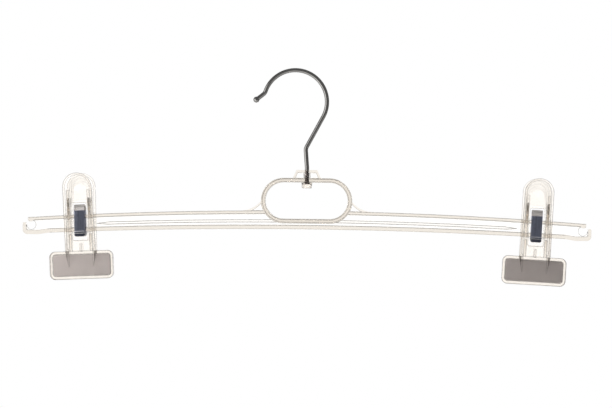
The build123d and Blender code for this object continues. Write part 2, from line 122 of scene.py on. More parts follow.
class HangerPlastic(PropertyGroup):
    """The clear moulding and the clear jaws."""

    tint: a_colour(
        "Tint", "Colour that light turns towards inside the plastic", (0.955, 0.946, 0.933)
    )
    face_tint: a_colour(
        "Face tint", "What is left of light that goes through plain faces", (0.982, 0.975, 0.963)
    )
    # Painted shade: the three edge colours below darken the light through the plastic along its
    # rounded edges, dark on the jaws and the web and paler on the rails.
    jaw_edge_painted_shade: a_colour("Jaw edge", "The same at a jaw's rounded edges", (0.04, 0.025, 0.02))
    web_edge_painted_shade: a_colour("Web edge", "The same where the web meets its ribs", (0.03, 0.025, 0.02))
    rail_edge_painted_shade: a_colour("Rail edge", "The same on the bar's flanges and loop", (0.86, 0.83, 0.8))
    # Painted shade: the cup round the wire's head is darker.
    cup_painted_shade: a_colour("Cup tint", "The same in the cup round the wire's head", (0.88, 0.83, 0.78))
    # Painted shade: a dark triangle in each tapered fin.
    fin_painted_shade: a_colour("Fin tint", "The same in the tapered fins on the trays", (0.06, 0.055, 0.05))
    fin_inner: a_length(
        "Fin inner", "From a clip's middle line to the shaded part of a fin", 9.3 * MM
    )
    fin_outer: a_length(
        "Fin outer", "From a clip's middle line to a fin's outer side at its top", 11.6 * MM
    )
    fin_top: a_length("Fin top", "Height of a fin's top over the bar's top", -25.7 * MM)
    fin_low: a_length("Fin low", "Height of a fin's point over the bar's top", -36.8 * MM)
    fin_out: a_length("Fin out", "Least distance of a fin's face from the middle plane", 3.7 * MM)
    fin_soft: a_length("Fin softness", "Width over which a fin's shade begins", 0.1 * MM)
    bar_cover: a_share("Bar cover", "Share of the light that the bar bends", 0.55)
    boss_cover: a_share("Boss cover", "The same where the boss holds the wire", 0.35)
    jaw_cover: a_share("Jaw cover", "The same in a jaw's thin walls", 0.7)
    rim_reach: a_length(
        "Rim reach", "From a clip's middle line to where its outer rims start", 9 * MM
    )
    web_reach: a_length(
        "Web reach", "How far the edges of the web reach from the middle plane", 1.9 * MM
    )
    cup_top: a_length("Cup top", "Height of the top of the cup under the wire's head", -75.7 * MM)
    cup_low: a_length("Cup low", "Height of the cup's mouth", -79.8 * MM)
    cup_reach: a_length("Cup reach", "Radius round the swivel axis that holds the cup", 4.3 * MM)
    soft: a_length("Softness", "Width over which rims, web and cup begin and end", 0.2 * MM)
    # Painted shade: the edge radius sets how wide the dark edge lines are.
    edge_radius: a_length("Edge radius", "Rounding that the mould leaves on every edge", 0.75 * MM)
    edge_turn: a_share(
        "Edge turn", "1 less the cosine of the turn at which an edge counts in full", 0.25
    )
    bar_density: a_number(
        "Bar density", "How strongly the tint takes away light in the bar, per metre", 820.0
    )
    jaw_density: a_number("Jaw density", "The same in the thinner jaws", 900.0)
    ior: a_number("Index of refraction", "How much the plastic bends light", 1.5)
    roughness: a_share("Roughness", "Polish of the mould's best faces", 0.02)
    roughness_spread: a_share("Roughness spread", "How much duller the handled patches are", 0.05)
    handled_size: a_length("Handled size", "Size of the handled patches", 25 * MM)
    wave_size: a_length("Wave size", "Spacing of the faint waves that moulding leaves", 9 * MM)
    wave_height: a_length("Wave height", "Height of those waves", 0.02 * MM)


class HangerWire(PropertyGroup):
    """The wire hook, in the plane of the hanger."""

    diameter: a_length("Diameter", "Thickness of the wire", 3.0 * MM)
    round_radius: a_length(
        "Round radius", "Radius of the round part, to the middle of the wire", 22.3 * MM
    )
    side_set: a_length(
        "Side set", "How far the round part stands to the left of the swivel axis", 8.8 * MM
    )
    round_end: an_angle("Round end", "Where the round part ends, counted from +X", radians(161.0))
    slant: an_angle("Slant", "Lean of the run down from the round part", radians(28.1))
    lean: an_angle("Lean", "Lean of the short run above the boss", radians(4.6))
    neck_radius: a_length("Neck bend", "Radius of the slight bend above the boss", 10.0 * MM)
    lower_radius: a_length("Lower bend", "Radius of the bend between the two runs", 5.0 * MM)
    tip_radius: a_length("Tip bend", "Radius of the bend back at the tip", 5.0 * MM)
    tip_turn: an_angle("Tip turn", "How far the tip turns back", radians(33.0))
    tip_run: a_length("Tip run", "Straight wire between the tip's bend and the ball", 6.0 * MM)
    ball: a_length("Ball", "Diameter of the ball at the tip", 4.3 * MM)
    neck_height: a_length("Neck height", "Height of the slight bend above the boss", -65.3 * MM)
    head: a_length("Head", "Diameter of the upset head under the boss", 4.4 * MM)
    head_thickness: a_length("Head thickness", "Thickness of that head", 1.8 * MM)
    sides: a_count("Sides", "Points round the wire", 40)
    colour: a_colour("Colour", "Plated steel", (0.41, 0.4, 0.385))
    held_from: a_length(
        "Held from", "Height of the gusset's top, under which the boss holds the wire", -66.9 * MM
    )
    # Painted shade: the wire is darkened where the boss holds it.
    boss_painted_shade: a_colour("Held colour", "Dull steel in the boss", (0.1, 0.085, 0.08))


class HangerSpring(PropertyGroup):
    """The steel strips, measured upwards from the bar's top and outwards from the middle plane."""

    thickness: a_length("Thickness", "Thickness of the strip", 0.5 * MM)
    width: a_length("Width", "Width of the strip", 7.4 * MM)
    bow_radius: a_length("Bow radius", "Radius of the bow over the bar", 4.65 * MM)
    bow_height: a_length("Bow height", "Height of the bow's centre over the bar's top", 2.25 * MM)
    knee_out: a_length("Knee out", "How far the knees stand from the middle plane", 5.926 * MM)
    knee_height: a_length("Knee height", "Height of the knees over the bar's top", -12.5 * MM)
    knee_radius: a_length("Knee bend", "Radius of the bend at a knee", 1.2 * MM)
    toe: a_length("Toe", "Length of the strip beyond a knee", 3.0 * MM)
    toe_angle: an_angle("Toe angle", "How far the toe leans outwards", radians(20.0))
    corner: a_length("Corner", "Rounding of the strip's corners", 1.2 * MM)
    edge: a_length("Edge", "Rounding of the strip's long edges", 0.12 * MM)
    colour: a_colour("Colour", "Dark tempered steel", (0.42, 0.45, 0.58))
    # Painted highlight: the bow is lit pale grey.
    bow_painted_light: a_colour("Worn colour", "Grey steel where the bow is rubbed", (0.68, 0.645, 0.62))
    # Painted highlights: a pale line along each end of the knee's bend.
    bright: a_colour(
        "Bright colour", "Bare steel along the ends of the knee's bend", (0.85, 0.84, 0.82)
    )
    bright_place: a_length(
        "Bright place", "From the middle of the knee's bend to each bright line", 0.73 * MM
    )
    bright_width: a_length("Bright width", "Width over which a bright line fades out", 0.12 * MM)


class HangerPad(PropertyGroup):
    """The grip pads, measured like the springs."""

    width: a_length("Width", "Width of a pad", 40.5 * MM)
    height: a_length("Height", "Height of a pad", 15.2 * MM)
    thickness: a_length("Thickness", "Thickness of a pad", 1.6 * MM)
    outer_face: a_length(
        "Outer face", "How far a pad's outer face is from the middle plane", 1.75 * MM
    )
    middle_height: a_length(
        "Middle height", "Height of a pad's middle over the bar's top", -35.6 * MM
    )
    corner: a_length("Corner", "Rounding of a pad's corners", 2.0 * MM)
    edge: a_length("Edge", "Rounding of a pad's edges", 0.25 * MM)
    grooves: a_count("Grooves", "Number of grooves across the gripping face", 5)
    groove_width: a_length("Groove width", "Width of a groove", 0.9 * MM)
    groove_depth: a_length("Groove depth", "Depth of a groove", 0.25 * MM)
    colour: a_colour("Colour", "Grey rubber", (0.55, 0.51, 0.515))


class HangerStage(PropertyGroup):
    """Floor, light, background and camera."""

    camera_distance: a_length("Camera distance", "From the camera to the middle plane", 1.8)
    camera_side: a_length("Camera side", "How far the camera is to the right", 49.6 * MM)
    camera_height: a_length("Camera height", "Height of the camera", -90.7 * MM)
    camera_yaw: an_angle("Camera yaw", "Turn of the camera to the left", radians(1.592))
    camera_roll: an_angle(
        "Camera roll", "Turn of the camera about its own line of sight", radians(0.7)
    )
    lens: a_number("Lens", "Focal length in millimetres on a 36 mm sensor", 150.4, "CAMERA")
    floor_height: a_length("Floor height", "Height of the floor", -330 * MM)
    floor_radius: a_length("Floor radius", "Radius of the floor", 1.0)
    floor_colour: a_colour("Floor colour", "Pale floor", (0.9, 0.9, 0.9))
    softbox_place: a_vector(
        "Softbox place", "Middle of the softbox", (-0.62, -0.5, 0.1), "TRANSLATION", "LENGTH"
    )
    softbox_aim: a_length(
        "Softbox aim", "Height on the swivel axis that the softbox points at", -90 * MM
    )
    softbox_width: a_length("Softbox width", "Width of the softbox", 0.45)
    softbox_height: a_length("Softbox height", "Height of the softbox", 0.6)
    softbox_power: a_number("Softbox power", "Power in watts", 7.3, "POWER")
    through_level: a_number(
        "Through level", "Brightness of the overexposed backdrop through plastic", 1.3
    )
    room_level: a_number("Room level", "Light that reaches matt surfaces from all round", 0.4)
    mirror_level: a_number(
        "Mirror level", "Brightness of the room in reflections, away from the backdrop", 0.2
    )
    inside_share: a_share(
        "Inside share", "What is left of the background after a bounce in plastic", 0.93
    )
    backdrop_angle: an_angle(
        "Backdrop angle", "Half the angle that the backdrop fills in reflections", radians(28)
    )
    window_way: a_vector(
        "Window way", "Direction of the window on the left, seen in reflections",
        (-0.866, -0.5, 0.0), "DIRECTION",
    )
    window_angle: an_angle("Window angle", "Half the angle that the window fills", radians(33))
    window_level: a_number("Window level", "Brightness of that window", 1.5)
    front_level: a_number(
        "Front level", "Brightness of the room before the hanger, seen through plastic", 0.8
    )


SETTINGS = {
    "hanger_plastic": HangerPlastic,
    "hanger_wire": HangerWire,
    "hanger_spring": HangerSpring,
    "hanger_pad": HangerPad,
    "hanger_stage": HangerStage,
}


# Shader maths


class Term:
    """A value in a material. Arithmetic on it adds Math nodes to the finish that it belongs to."""

    def __init__(self, finish, socket):
        self.finish = finish
        self.socket = socket

    def calculated(self, operation, first, second):
        return self.finish.node("ShaderNodeMath", {"operation": operation}, {0: first, 1: second})

    def __add__(self, other):
        return self.calculated("ADD", self, other)

    def __radd__(self, other):
        return self.calculated("ADD", other, self)

    def __sub__(self, other):
        return self.calculated("SUBTRACT", self, other)

    def __rsub__(self, other):
        return self.calculated("SUBTRACT", other, self)

    def __mul__(self, other):
        return self.calculated("MULTIPLY", self, other)

    def __rmul__(self, other):
        return self.calculated("MULTIPLY", other, self)

    def __truediv__(self, other):
        return self.calculated("DIVIDE", self, other)

    def __pow__(self, other):
        return self.calculated("POWER", self, other)

    def __rpow__(self, other):
        return self.calculated("POWER", other, self)

    def size(self):
        """The value without its sign."""
        return self.finish.node("ShaderNodeMath", {"operation": "ABSOLUTE"}, {0: self})

    def clamped(self):
        """The value, kept between 0 and 1."""
        return self.finish.node("ShaderNodeClamp", {}, {"Value": self})

    def above(self, level, soft):
        """0 up to a level, and 1 from a soft step beyond it."""
        return ((self - level) / soft).clamped()

    def below(self, level, soft):
        """1 up to a soft step before a level, and 0 from the level on."""
        return ((level - self) / soft).clamped()


class Finish:
    """Builds the nodes of a material or of the world."""

    def __init__(self, owner):
        owner.use_nodes = True
        self.tree = owner.node_tree
        self.tree.nodes.clear()

    def node(self, kind, settings=None, inputs=None, output=0):
        """Adds a node, sets its settings and then its sockets, and gives one of its outputs."""
        node = self.tree.nodes.new(kind)
        for name, value in (settings or {}).items():
            setattr(node, name, value)
        for name, value in (inputs or {}).items():
            socket = node.inputs[name]
            if isinstance(value, Term):
                self.tree.links.new(value.socket, socket)
            elif hasattr(socket.default_value, "__len__") and len(socket.default_value) == 4:
                socket.default_value = (*value, 1.0)
            else:
                socket.default_value = value
        return Term(self, node.outputs[output]) if node.outputs else None

    def noise(self, place, size, detail):
        """Cloudy noise from 0 to 1 whose patches are about this size."""
        inputs = {"Vector": place, "Scale": 1 / size, "Detail": detail}
        return self.node("ShaderNodeTexNoise", {}, inputs)

    def mixed(self, share, first, second):
        """A colour between two colours, on the Mix node's own colour sockets."""
        inputs = {0: share, 6: first, 7: second}
        return self.node("ShaderNodeMix", {"data_type": "RGBA"}, inputs, output=2)

    def dot(self, first, second):
        """The dot product of two vectors."""
        settings, inputs = {"operation": "DOT_PRODUCT"}, {0: first, 1: second}
        return self.node("ShaderNodeVectorMath", settings, inputs, output="Value")

    def part(self, vector, axis):
        """One coordinate of a vector."""
        return self.node("ShaderNodeSeparateXYZ", {}, {"Vector": vector}, output=axis)

    def bump(self, height, distance):
        """A normal for a height from 0 to 1 that stands for this distance."""
        inputs = {"Height": height, "Distance": distance, "Strength": 1.0}
        return self.node("ShaderNodeBump", {}, inputs)

    def principled(self, inputs, **beside):
        """Adds the main shader with these sockets, and the output with what else goes into it."""
        surface = self.node("ShaderNodeBsdfPrincipled", {}, inputs)
        self.node("ShaderNodeOutputMaterial", {}, {"Surface": surface, **beside})


def new_finish(name):
    """A new material and the finish that builds its nodes."""
    material = bpy.data.materials.new(name)
    return material, Finish(material)


def object_place(finish):
    """The shaded place, in metres."""
    return finish.node("ShaderNodeTexCoord", output="Object")


def pattern_place(finish):
    """The shaded place on a wire or strip: two numbers round it and one along it."""
    return finish.node("ShaderNodeAttribute", {"attribute_name": "along"}, output="Vector")


def times(factor, colour):
    """A darker or lighter colour."""
    return tuple(factor * part for part in colour)


# Places on a clip, and the lines that the strip and the wire follow


def clip_axes(side):
    """The point that a clip's jaws turn about and its directions along the bar and up."""
    joint = next(j for j in frame["joints"] if j["name"] == side + "_rear_jaw_pivot")
    pivot, along_bar = np.array(joint["pos_m"]), np.array(joint["axis"])
    return pivot, along_bar, np.cross(along_bar, OUT)


def clip_point(axes, out, height):
    """The point this far from the middle plane and over the bar's top, on a clip's middle line."""
    pivot, _, up = axes
    out, height = np.asarray(out, float), np.asarray(height, float)
    return pivot + out[..., None] * OUT + (height - PIVOT_HEIGHT)[..., None] * up


def clip_place(finish, place, side):
    """How far a shaded place is from a clip's middle line and over the bar's top."""
    pivot, along_bar, up = clip_axes(side)
    across, height = (
        finish.dot(place, tuple(axis)) - float(pivot @ axis) for axis in (along_bar, up)
    )
    return across.size(), height + PIVOT_HEIGHT


def strip_stretches(spring):
    """Half of a strip's middle line: the bow, the straight leg, the bend at the knee and the toe.

    The leg is the tangent from the knee to the bow's circle.
    """
    drop = spring.bow_height - spring.knee_height
    reach = hypot(spring.knee_out, drop)
    spread = atan2(spring.knee_out, drop) - asin(spring.bow_radius / reach)
    knee_turn = spring.toe_angle - spread
    cut = spring.knee_radius * tan(knee_turn / 2)
    leg = sqrt(reach**2 - spring.bow_radius**2)
    return [
        (spring.bow_radius * (pi / 2 - spread), spread - pi / 2),
        (leg - cut, 0.0),
        (spring.knee_radius * knee_turn, knee_turn),
        (spring.toe - cut, 0.0),
    ]


def wire_stretches(wire, low):
    """The wire's runs and bends, from the head's underside at height low to the ball's far side.

    The run down from the round part is its tangent. It and the leaning run from the neck meet at
    the lower bend, and each bend cuts radius * tan(turn / 2) off the runs beside it.
    """
    radius = wire.diameter / 2
    drop = sqrt((wire.round_radius - radius) ** 2 - wire.side_set**2)
    centre = Vector((-wire.side_set, -drop))
    neck = Vector((0.0, wire.neck_height))
    leave = centre + wire.round_radius * Vector((cos(wire.slant), -sin(wire.slant)))
    fall = leave.y - neck.y - leave.x / tan(wire.slant)
    fall = fall / (1 + tan(wire.lean) / tan(wire.slant))
    bend = neck + fall * Vector((-tan(wire.lean), 1.0))
    neck_cut = wire.neck_radius * tan(wire.lean / 2)
    lower_turn = wire.lean + wire.slant
    lower_cut = wire.lower_radius * tan(lower_turn / 2)
    round_turn = wire.slant + wire.round_end
    return [
        (neck.y - neck_cut - low, 0.0),
        (wire.neck_radius * wire.lean, wire.lean),
        ((bend - neck).length - neck_cut - lower_cut, 0.0),
        (wire.lower_radius * lower_turn, -lower_turn),
        ((leave - bend).length - lower_cut, 0.0),
        (wire.round_radius * round_turn, round_turn),
        (wire.tip_radius * wire.tip_turn, -wire.tip_turn),
        (wire.tip_run + wire.ball / 2, 0.0),
    ]


# Materials


def edge_share(plastic, finish):
    """From 0 on flat faces to 1 on edges, where the rounded normal turns from the flat one. It
    places the painted edge shade.
    """
    flat = finish.node("ShaderNodeNewGeometry", output="Normal")
    radius = {"Radius": plastic.edge_radius}
    rounded = finish.node("ShaderNodeBevel", {"samples": 4}, radius)
    return finish.dot(rounded, flat).below(1, plastic.edge_turn)


def clear_plastic(plastic, finish, density, tint, cover):
    """Polished clear plastic with faint waves. It bends the covered share of the light.

    The rest of the light goes straight on. The plastic's own tint deepens with thickness.
    """
    place = object_place(finish)
    handled = finish.noise(place, plastic.handled_size, detail=4.0)
    waves = finish.noise(place, plastic.wave_size, detail=1.0)
    inside = {"Color": plastic.tint, "Density": density}
    finish.principled(
        {
            # The base colour carries painted shade along the edges, in the cup and in the fins.
            "Base Color": tint,
            "Roughness": plastic.roughness + plastic.roughness_spread * handled**3,
            "IOR": plastic.ior,
            "Transmission Weight": 1.0,
            "Alpha": cover,
            "Normal": finish.bump(waves, plastic.wave_height),
        },
        Volume=finish.node("ShaderNodeVolumeAbsorption", {}, inside),
    )


def bar_plastic(plastic):
    """The bar's plastic, with dark painted shade and all covered along the web's edges, and paler
    painted shade on its rails.

    The cup round the wire's head has painted shade and the boss above it a cover of its own.
    """
    material, finish = new_finish("bar_plastic")
    place, soft = object_place(finish), plastic.soft
    sideways, out, height = (finish.part(place, axis) for axis in "XYZ")
    near_wire = sideways.size().below(plastic.cup_reach, soft)
    near_wire = near_wire * height.above(plastic.cup_low, soft)
    in_cup = near_wire * height.below(plastic.cup_top, soft)
    in_boss = near_wire * (1 - in_cup)
    on_rail = out.size().above(plastic.web_reach, soft) * (1 - in_cup)
    edge = edge_share(plastic, finish)
    # Painted shade in the cup round the wire's head.
    face_tint = finish.mixed(in_cup, plastic.face_tint, plastic.cup_painted_shade)
    # Painted shade along the edges: dark where the web meets its ribs, paler on the rails.
    edge_painted_shade = finish.mixed(on_rail, plastic.web_edge_painted_shade, plastic.rail_edge_painted_shade)
    tint = finish.mixed(edge, face_tint, edge_painted_shade)
    cover = plastic.bar_cover + (1 - plastic.bar_cover) * (edge * (1 - on_rail))
    cover = cover * (1 - in_boss) + plastic.boss_cover * in_boss
    clear_plastic(plastic, finish, plastic.bar_density, tint, cover)
    return material


def fin_shade(plastic, across, height, out):
    """Where a fin's painted shade lies: from 0 to 1 in the triangle of a fin, which narrows evenly
    from its top to its point.
    """
    soft = plastic.fin_soft
    up_share = (height - plastic.fin_low) / (plastic.fin_top - plastic.fin_low)
    outer = plastic.fin_inner + (plastic.fin_outer - plastic.fin_inner) * up_share
    in_width = across.below(outer, soft) * across.above(plastic.fin_inner, soft)
    in_height = height.below(plastic.fin_top, soft) * height.above(plastic.fin_low, soft)
    return in_width * in_height * out.above(plastic.fin_out, soft)


def jaw_plastic(plastic, side):
    """A clip's plastic, with painted shade along the edges and in the fins. The rims' edges are all
    covered.
    """
    material, finish = new_finish(side + "_jaw_plastic")
    place = object_place(finish)
    out = finish.part(place, "Y").size()
    across, height = clip_place(finish, place, side)
    edge = edge_share(plastic, finish)
    # Painted shade in the fins' triangles.
    in_fin = fin_shade(plastic, across, height, out)
    face_tint = finish.mixed(in_fin, plastic.face_tint, plastic.fin_painted_shade)
    # Painted shade along the jaw's edges.
    tint = finish.mixed(edge, face_tint, plastic.jaw_edge_painted_shade)
    on_rim = across.above(plastic.rim_reach, plastic.soft)
    cover = plastic.jaw_cover + (1 - plastic.jaw_cover) * (edge * on_rim)
    clear_plastic(plastic, finish, plastic.jaw_density, tint, cover)
    return material


def plated_wire(wire):
    """Plated steel wire with fine lines along it, left dull where the boss holds it, and darkened
    there by painted shade.
    """
    material, finish = new_finish("plated_wire")
    place = object_place(finish)
    lines = finish.noise(pattern_place(finish), size=0.12, detail=3.0)
    clouds = finish.noise(place, size=3 * MM, detail=3.0)
    # Where the boss holds the wire: duller, and darkened by painted shade.
    held = finish.part(place, "Z").below(wire.held_from, soft=0.6 * MM)
    plated = finish.mixed(clouds, wire.colour, times(0.8, wire.colour))
    polish, lined, dull = 0.08, 0.16, 0.3
    finish.principled(
        {
            "Base Color": finish.mixed(held, plated, wire.boss_painted_shade),
            "Metallic": 1.0,
            "Roughness": polish + lined * lines + dull * held,
            "Normal": finish.bump(lines, distance=0.01 * MM),
        }
    )
    return material


def tempered_strip(spring):
    """Blue tempered steel with dark rolling lines along the strip.

    It has painted highlights, pale grey on the bow and a pale line along each end of the knee's
    bend, and painted shade from the bend on. The length along the strip is counted from the top of
    the bow.
    """
    material, finish = new_finish("tempered_strip")
    pattern = pattern_place(finish)
    lines = finish.noise(pattern, size=0.08, detail=4.0)
    clouds = finish.noise(object_place(finish), size=2.5 * MM, detail=3.0)
    length = finish.part(pattern, "Z")
    bow, leg, knee, _ = (run for run, _ in strip_stretches(spring))
    cloudy = 0.2
    # Painted highlight on the bow, a little cloudy.
    bow_painted_light = length.below(bow, soft=0.5 * MM) * (1 - cloudy + cloudy * clouds)
    # Painted highlights along each end of the knee's bend.
    from_knee = (length - (bow + leg + knee / 2)).size()
    from_line = (from_knee - spring.bright_place).size()
    line_reach = 1.3 * spring.bright_width
    bright = (from_line.below(line_reach, spring.bright_width) * (0.5 + lines)).clamped()
    streaks = lines.above(0.3, soft=0.4)
    # Painted shade from the knee's bend to the toe.
    in_bend = length.above(bow + leg, soft=0.3 * MM)
    streaked, patchy = 0.9, 0.5
    dark = (streaked * streaks + patchy * (clouds - 0.5) + in_bend).clamped()
    tempered = finish.mixed(dark, spring.colour, times(0.4, spring.colour))
    # The steel with the bow's painted highlight.
    painted_lit = finish.mixed(bow_painted_light, tempered, spring.bow_painted_light)
    grey_share = 0.8
    polish, lined, dull = 0.2, 0.25, 0.2
    finish.principled(
        {
            "Base Color": finish.mixed(bright, painted_lit, spring.bright),
            "Metallic": (1 - grey_share * bow_painted_light - grey_share * bright).clamped(),
            "Roughness": polish + lined * lines + dull * bow_painted_light,
            "Normal": finish.bump(lines, distance=0.01 * MM),
        }
    )
    return material


def grey_rubber(pad):
    """Matt grey rubber with a fine grain and a little bloom."""
    material, finish = new_finish("grey_rubber")
    place = object_place(finish)
    grain = finish.noise(place, size=0.35 * MM, detail=2.0)
    bloom = finish.noise(place, size=7 * MM, detail=3.0)
    smooth, grainy = 0.6, 0.2
    finish.principled(
        {
            "Base Color": finish.mixed(bloom, pad.colour, times(1.15, pad.colour)),
            "Roughness": smooth + grainy * grain,
            "Normal": finish.bump(grain, distance=0.04 * MM),
        }
    )
    return material


def new_object(name, data):
    """An object with this mesh, lamp or camera, in the scene."""
    thing = bpy.data.objects.new(name, data)
    bpy.context.scene.collection.objects.link(thing)
    return thing


# How finely the shapes are divided

LINE_STEPS = 8000  # in which a bent line is summed up
CORNER_RINGS = 16  # over a rounded corner
KNOB_RINGS = 40  # over the wire's head, and over its ball
KNOB_START = 0.04  # angle of the first of them, so that it isn't a single point
WIRE_PATTERN = 30 * MM  # length of wire that counts as 1 in its pattern
STRIP_STEP = 0.3 * MM  # between the rings of a spring's strip
STRIP_SIDES = 24  # points round the strip
PAD_STEP = 0.08 * MM  # between the rings of a pad, fine enough for its grooves
PAD_SIDES = 32  # points round a pad
FLOOR_RINGS = 23
FLOOR_SIDES = 96


# Shapes as functions of two parameters


def bent_line(start, heading, stretches, places):
    """Points and headings at these places, counted as lengths along a line bent in one plane.

    A stretch is (length, turn). The heading changes evenly over a stretch, so it is piecewise
    linear in the length. A point is the start plus the running sum of the unit headings before it.
    """
    lengths, turns = np.array(stretches).T
    knots = np.concatenate([[0.0], np.cumsum(lengths)])
    angles = heading + np.concatenate([[0.0], np.cumsum(turns)])
    fine = np.linspace(0.0, knots[-1], LINE_STEPS + 1)
    angle = np.interp(fine, knots, angles)
    unit = np.stack([np.cos(angle), np.sin(angle)], 1)
    steps = np.diff(fine)[:, None] * (unit[1:] + unit[:-1]) / 2
    line = np.array(start) + np.concatenate([[[0.0, 0.0]], np.cumsum(steps, 0)])
    points = np.stack([np.interp(places, fine, line[:, k]) for k in (0, 1)], 1)
    return points, np.interp(places, knots, angles)


def rounded_ring(width, height, corner, sides):
    """Rounded rectangles, one for each station: corner centres plus a turning corner radius.

    At angle t the point is (width / 2 - corner) * sign(cos t) + corner * cos t across, and the
    same with the height and the sine outwards. Where the corner is half of both sizes this is a
    circle.
    """
    t = (np.arange(sides) + 0.5) * 2 * pi / sides
    width, height, corner = (np.asarray(v, float)[:, None] for v in (width, height, corner))
    across = (width / 2 - corner) * np.sign(np.cos(t)) + corner * np.cos(t)
    outwards = (height / 2 - corner) * np.sign(np.sin(t)) + corner * np.sin(t)
    return across, outwards


def corner_places(radius):
    """Distances from a rounded end, closest there: radius * (1 - cos t) for even steps of t."""
    return (1 - np.cos(np.linspace(0.0, pi / 2, CORNER_RINGS))) * radius


def end_rounding(distance, radius):
    """How far a side has drawn in at this distance from a rounded end.

    It is radius - sqrt(radius² - (radius - distance)²), and nothing beyond the radius.
    """
    inside = np.clip(radius - distance, 0.0, radius)
    return radius - np.sqrt(radius**2 - inside**2)


def carried(name, centres, across_axis, out_axis, across, outwards, along=None):
    """A closed mesh of rings carried along a line.

    At each station a ring's point is centre + across * across_axis + outwards * out_axis.
    Neighbouring rings are joined by quads and both ends are closed by a flat face.
    """
    grid = (
        centres[:, None, :]
        + across[:, :, None] * across_axis[:, None, :]
        + outwards[:, :, None] * out_axis[:, None, :]
    )
    stations, sides = across.shape
    i, j = np.meshgrid(np.arange(stations - 1), np.arange(sides), indexing="ij")
    here, following = i * sides, (j + 1) % sides
    beyond = here + sides
    quads = np.stack([here + j, here + following, beyond + following, beyond + j], -1)
    faces = quads.reshape(-1, 4).tolist()
    faces.append(list(range(sides))[::-1])
    faces.append(list(range((stations - 1) * sides, stations * sides)))
    mesh = bpy.data.meshes.new(name)
    mesh.from_pydata(grid.reshape(-1, 3).tolist(), [], faces)
    mesh.polygons.foreach_set("use_smooth", [True] * (len(faces) - 2) + [False] * 2)
    if along is not None:
        pattern = mesh.attributes.new("along", "FLOAT_VECTOR", "POINT")
        pattern.data.foreach_set("vector", along.ravel())
    mesh.update()
    return new_object(name, mesh)


# Pieces


def wire_radius(wire, places, length):
    """Radius along the wire: a flat head at one end, a ball at the other, plain wire between.

    Over its half thickness and half width, the head's profile is x^6 + y^6 = 1, which is flat with
    rounded corners.
    """
    power = 6
    head = 1 - np.abs(places / (wire.head_thickness / 2) - 1) ** power
    head_radius = wire.head / 2 * np.clip(head, 0.0, 1.0) ** (1 / power)
    ball = (wire.ball / 2) ** 2 - (length - wire.ball / 2 - places) ** 2
    ball_radius = np.sqrt(np.clip(ball, 0.0, None))
    between = (places > wire.head_thickness / 2) & (places < length - wire.ball / 2)
    plain_radius = np.where(between, wire.diameter / 2, 0.0)
    return np.maximum(np.maximum(head_radius, ball_radius), plain_radius)


def make_hook(wire):
    """The wire with its head and ball: circles carried along its line.

    Over the head and the ball they lie at (1 - cos t) / 2 of the way for even steps of t, and on
    the plain wire an eighth of a diameter apart.
    """
    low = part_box("hook")[0].z
    stretches = wire_stretches(wire, low)
    length = sum(run for run, _ in stretches)
    knob = (1 - np.cos(np.linspace(KNOB_START, pi, KNOB_RINGS))) / 2
    clear_of_head = 1.1 * wire.head_thickness
    places = np.concatenate(
        [
            knob * wire.head_thickness,
            np.arange(clear_of_head, length - wire.ball, wire.diameter / 8),
            length - knob[::-1] * wire.ball,
        ]
    )
    points, headings = bent_line((0.0, low), pi / 2, stretches, places)
    zeros, ones = np.zeros(len(places)), np.ones(len(places))
    radius = wire_radius(wire, places, length)
    across, outwards = rounded_ring(2 * radius, 2 * radius, radius, wire.sides)
    turn = (np.arange(wire.sides) + 0.5) * 2 * pi / wire.sides
    pattern = np.broadcast_arrays(np.cos(turn), np.sin(turn), places[:, None] / WIRE_PATTERN)
    hook = carried(
        "wire_hook",
        np.stack([points[:, 0], zeros, points[:, 1]], 1),
        np.stack([np.sin(headings), zeros, -np.cos(headings)], 1),
        np.stack([zeros, ones, zeros], 1),
        across,
        outwards,
        np.stack(pattern, -1),
    )
    hook.data.materials.append(plated_wire(wire))
    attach(hook, "hook")
    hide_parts("hook")


def make_spring_half(spring, side, facing, material):
    """Half of a strip, from the top of its bow to one toe: flat rings carried along its line.
    """
    way = FACINGS[facing]
    axes = clip_axes(side)
    _, along_bar, up = axes
    stretches = strip_stretches(spring)
    length = sum(run for run, _ in stretches)
    bow_top = spring.bow_height + spring.bow_radius
    even = np.arange(0.0, length - spring.corner, STRIP_STEP)
    places = np.concatenate([even, length - corner_places(spring.corner)[::-1]])
    points, headings = bent_line((0.0, bow_top), 0.0, stretches, places)
    plain = np.ones(len(places))
    width = spring.width - 2 * end_rounding(length - places, spring.corner)
    thickness, edge = spring.thickness * plain, spring.edge * plain
    across, outwards = rounded_ring(width, thickness, edge, STRIP_SIDES)
    centres = clip_point(axes, way * points[:, 0], points[:, 1])
    bar_way = np.broadcast_to(-way * along_bar, centres.shape)
    out_of_strip = -way * np.sin(headings)[:, None] * OUT + np.cos(headings)[:, None] * up
    pattern = np.broadcast_arrays(across / spring.width, outwards / spring.width, places[:, None])
    strip = carried(
        side + "_spring_" + facing,
        centres,
        bar_way,
        out_of_strip,
        across,
        outwards,
        np.stack(pattern, -1),
    )
    strip.data.materials.append(material)
    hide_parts(side + "_spring")
    top = clip_point(axes, 0.0, bow_top)
    knee = clip_point(axes, way * spring.knee_out, spring.knee_height)
    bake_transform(strip)


